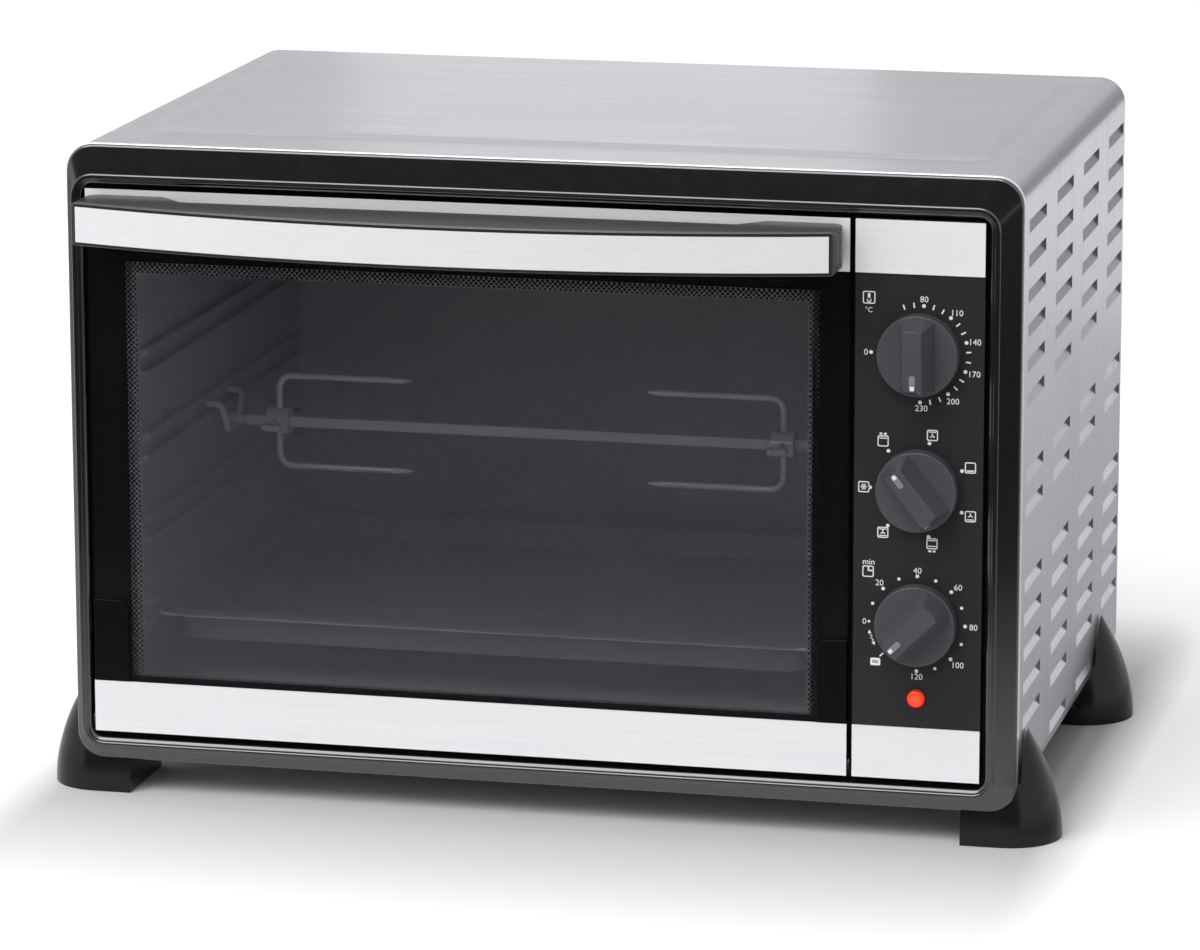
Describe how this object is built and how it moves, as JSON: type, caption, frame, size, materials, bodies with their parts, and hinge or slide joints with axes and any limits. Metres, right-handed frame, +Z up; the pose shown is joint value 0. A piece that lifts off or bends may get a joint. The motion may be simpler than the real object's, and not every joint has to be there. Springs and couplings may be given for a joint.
{
  "type": "countertop oven",
  "caption": "Sheet-steel countertop oven on moulded feet, with a drop-down glass door and bowed handle, a knob panel at the right, louvred sides, heaters, fan and rotisserie spit.",
  "frame": {"origin": "on the table, under the middle of the outline over feet and handle", "axes": "+X to the user's right along the width, +Y towards the back, +Z up"},
  "size_m": [0.604, 0.45, 0.3885],
  "materials": {
    "case_steel": "fine brushed stainless sheet",
    "zinc_sheet": "galvanised sheet",
    "bezel_black": "satin black moulding",
    "frame_black": "heat-resistant black paint",
    "chamber_steel": "plain aluminised sheet",
    "panel_black": "fine matte black with white printing",
    "strip_steel": "bright brushed strip",
    "switch_plastic": "moulded switch body",
    "shaft_steel": "plain zinc-plated steel",
    "knob_grey": "satin dark grey moulding",
    "pointer_black": "black insert with a white tip",
    "lens_orange": "clear orange-red lens",
    "heater_tube": "oxidised steel tube",
    "ceramic": "white ceramic",
    "motor_case": "plain motor case",
    "fan_sheet": "plain sheet",
    "spit_chrome": "bright plated wire and bar",
    "coupling_steel": "plain turned steel",
    "tray_metal": "plain pressed tray",
    "foot_black": "glossy dark moulding",
    "screw_steel": "plated screws",
    "gland_black": "black grommet",
    "door_glass": "tempered tinted glass",
    "handle_black": "black moulding"
  },
  "bodies": {
    "case": {"cover_top": "case_steel", "side_panel_left": "case_steel", "side_panel_right": "case_steel", "rear_panel": "zinc_sheet", "base_plate": "zinc_sheet", "front_bezel": "bezel_black", "front_frame": "frame_black", "chamber_left_wall": "chamber_steel", "chamber_right_wall": "chamber_steel", "chamber_roof": "chamber_steel", "chamber_floor": "chamber_steel", "chamber_rear_wall": "chamber_steel", "fan_guard": "chamber_steel", "fan_well": "chamber_steel", "control_panel": "panel_black", "panel_trims": "strip_steel", "thermostat": "switch_plastic", "function_selector": "switch_plastic", "timer": "switch_plastic", "hinge_pins": "shaft_steel", "indicator_lens": "lens_orange", "upper_heater": "heater_tube", "lower_heater": "heater_tube", "heater_bushes": "ceramic", "spit_motor": "motor_case", "fan_motor": "motor_case", "spit_rest": "spit_chrome", "drip_tray": "tray_metal", "foot_front_left": "foot_black", "foot_front_right": "foot_black", "foot_rear_left": "foot_black", "foot_rear_right": "foot_black", "case_screws": "screw_steel", "cord_gland": "gland_black"},
    "door": {"door_glass": "door_glass", "door_frame": "frame_black", "door_rail": "frame_black", "door_strip_top": "strip_steel", "door_strip_low": "strip_steel", "handle_grip": "handle_black", "handle_facing": "strip_steel", "handle_screws": "screw_steel", "door_stay_left": "shaft_steel", "door_stay_right": "shaft_steel"},
    "temperature_control": {"temperature_knob": "knob_grey", "temperature_shaft": "shaft_steel", "temperature_pointer": "pointer_black"},
    "function_control": {"function_knob": "knob_grey", "function_shaft": "shaft_steel", "function_pointer": "pointer_black"},
    "timer_control": {"timer_knob": "knob_grey", "timer_shaft": "shaft_steel", "timer_pointer": "pointer_black"},
    "spit": {"spit_rod": "spit_chrome", "spit_fork_left": "spit_chrome", "spit_fork_right": "spit_chrome", "fork_thumbscrews": "spit_chrome", "spit_coupling": "coupling_steel"},
    "fan": {"fan_wheel": "fan_sheet"}
  },
  "joints": [
    {"name": "door_hinge", "type": "hinge", "parent": "case", "child": "door", "pos_m": [-0.043, -0.1555, 0.0435], "axis": [1, 0, 0], "range_deg": [0, 82]},
    {"name": "temperature_turn", "type": "hinge", "parent": "case", "child": "temperature_control", "pos_m": [0.2221, -0.1608, 0.285], "axis": [0, -1, 0], "range_deg": [0, 269]},
    {"name": "function_turn", "type": "hinge", "parent": "case", "child": "function_control", "pos_m": [0.2221, -0.1608, 0.207], "axis": [0, -1, 0], "continuous": true},
    {"name": "timer_turn", "type": "hinge", "parent": "case", "child": "timer_control", "pos_m": [0.2221, -0.1608, 0.129], "axis": [0, -1, 0], "range_deg": [-315, 0]},
    {"name": "spit_turn", "type": "hinge", "parent": "case", "child": "spit", "pos_m": [-0.043, 0.019, 0.19], "axis": [1, 0, 0], "continuous": true},
    {"name": "fan_spin", "type": "hinge", "parent": "case", "child": "fan", "pos_m": [0.17, 0.114, 0.248], "axis": [1, 0, 0], "continuous": true}
  ]
}
